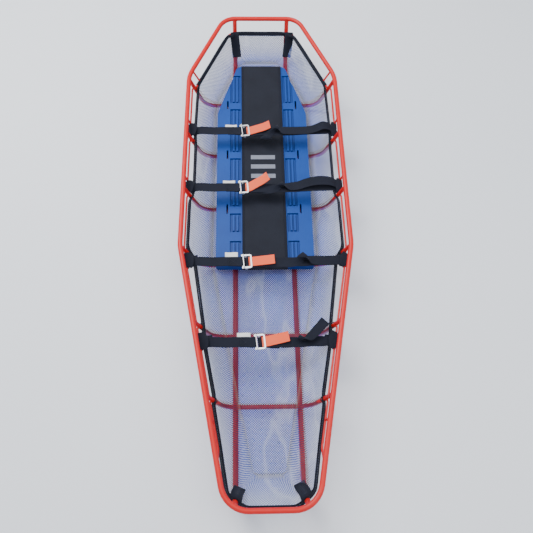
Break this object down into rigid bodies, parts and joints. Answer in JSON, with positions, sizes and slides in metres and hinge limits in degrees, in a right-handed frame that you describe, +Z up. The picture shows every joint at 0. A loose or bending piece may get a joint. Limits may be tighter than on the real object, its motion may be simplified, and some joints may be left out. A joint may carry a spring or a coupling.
{
  "type": "rescue litter with spine board",
  "caption": "Tapered tube-frame rescue litter with a mesh liner, a padded half-length spine board and quick-release cross straps.",
  "frame": {"origin": "on the ground under the middle of the litter's bounding box", "axes": "+Y towards the wide head end, +Z up, +X to the litter's right side as seen from above with the head at the top"},
  "size_m": [0.6496, 2.064, 0.2075],
  "materials": {
    "red_paint": "satin coral red powder coat",
    "net": "fine open plastic mesh",
    "strap_webbing": "woven webbing",
    "board_plastic": "moulded, lightly textured",
    "sleeve_fabric": "coated nylon over foam",
    "buckle_steel": "bright plated",
    "tab_webbing": "woven webbing",
    "label_cloth": "plain woven label"
  },
  "bodies": {
    "litter": {"head_rail": "red_paint", "left_rail": "red_paint", "right_rail": "red_paint", "foot_rail": "red_paint", "rib_1": "red_paint", "rib_2": "red_paint", "rib_3": "red_paint", "rib_4": "red_paint", "rib_5": "red_paint", "rib_6": "red_paint", "left_runner": "red_paint", "right_runner": "red_paint", "head_rod": "red_paint", "left_rods": "red_paint", "right_rods": "red_paint", "rail_posts": "red_paint", "net_hem": "strap_webbing", "net_floor": "net", "net_head": "net", "net_foot": "net", "net_left_shoulder": "net", "net_left_torso": "net", "net_left_leg": "net", "net_right_shoulder": "net", "net_right_torso": "net", "net_right_leg": "net", "head_ties": "strap_webbing", "foot_patches": "strap_webbing", "left_hitches": "strap_webbing", "right_hitches": "strap_webbing", "strap_labels": "label_cloth", "left_webbing_1": "strap_webbing", "left_webbing_2": "strap_webbing", "left_webbing_3": "strap_webbing", "left_webbing_4": "strap_webbing", "right_webbing_1": "strap_webbing", "right_webbing_2": "strap_webbing", "right_webbing_3": "strap_webbing", "right_webbing_4": "strap_webbing"},
    "board": {"board_shell": "board_plastic", "board_sleeve": "sleeve_fabric"},
    "buckle_1": {"buckle_frame_1": "buckle_steel", "lock_bar_1": "buckle_steel", "webbing_fold_1": "strap_webbing", "release_tab_1": "tab_webbing"},
    "buckle_2": {"buckle_frame_2": "buckle_steel", "lock_bar_2": "buckle_steel", "webbing_fold_2": "strap_webbing", "release_tab_2": "tab_webbing"},
    "buckle_3": {"buckle_frame_3": "buckle_steel", "lock_bar_3": "buckle_steel", "webbing_fold_3": "strap_webbing", "release_tab_3": "tab_webbing"},
    "buckle_4": {"buckle_frame_4": "buckle_steel", "lock_bar_4": "buckle_steel", "webbing_fold_4": "strap_webbing", "release_tab_4": "tab_webbing"}
  },
  "joints": [
    {"name": "buckle_1_tilt", "type": "hinge", "parent": "litter", "child": "buckle_1", "pos_m": [-0.089, 0.453, 0.143], "axis": [0.1045, -0.9945, 0], "range_deg": [0, 40]},
    {"name": "buckle_2_tilt", "type": "hinge", "parent": "litter", "child": "buckle_2", "pos_m": [-0.096, 0.179, 0.143], "axis": [0.0872, -0.9962, 0], "range_deg": [0, 40]},
    {"name": "buckle_3_tilt", "type": "hinge", "parent": "litter", "child": "buckle_3", "pos_m": [-0.086, -0.146, 0.143], "axis": [0.0698, -0.9976, 0], "range_deg": [0, 40]},
    {"name": "buckle_4_tilt", "type": "hinge", "parent": "litter", "child": "buckle_4", "pos_m": [-0.042, -0.461, 0.143], "axis": [0.0872, -0.9962, 0], "range_deg": [0, 40]},
    {"name": "board_lift", "type": "slide", "parent": "litter", "child": "board", "axis": [0, 0, 1], "range_m": [0, 0.04]}
  ]
}
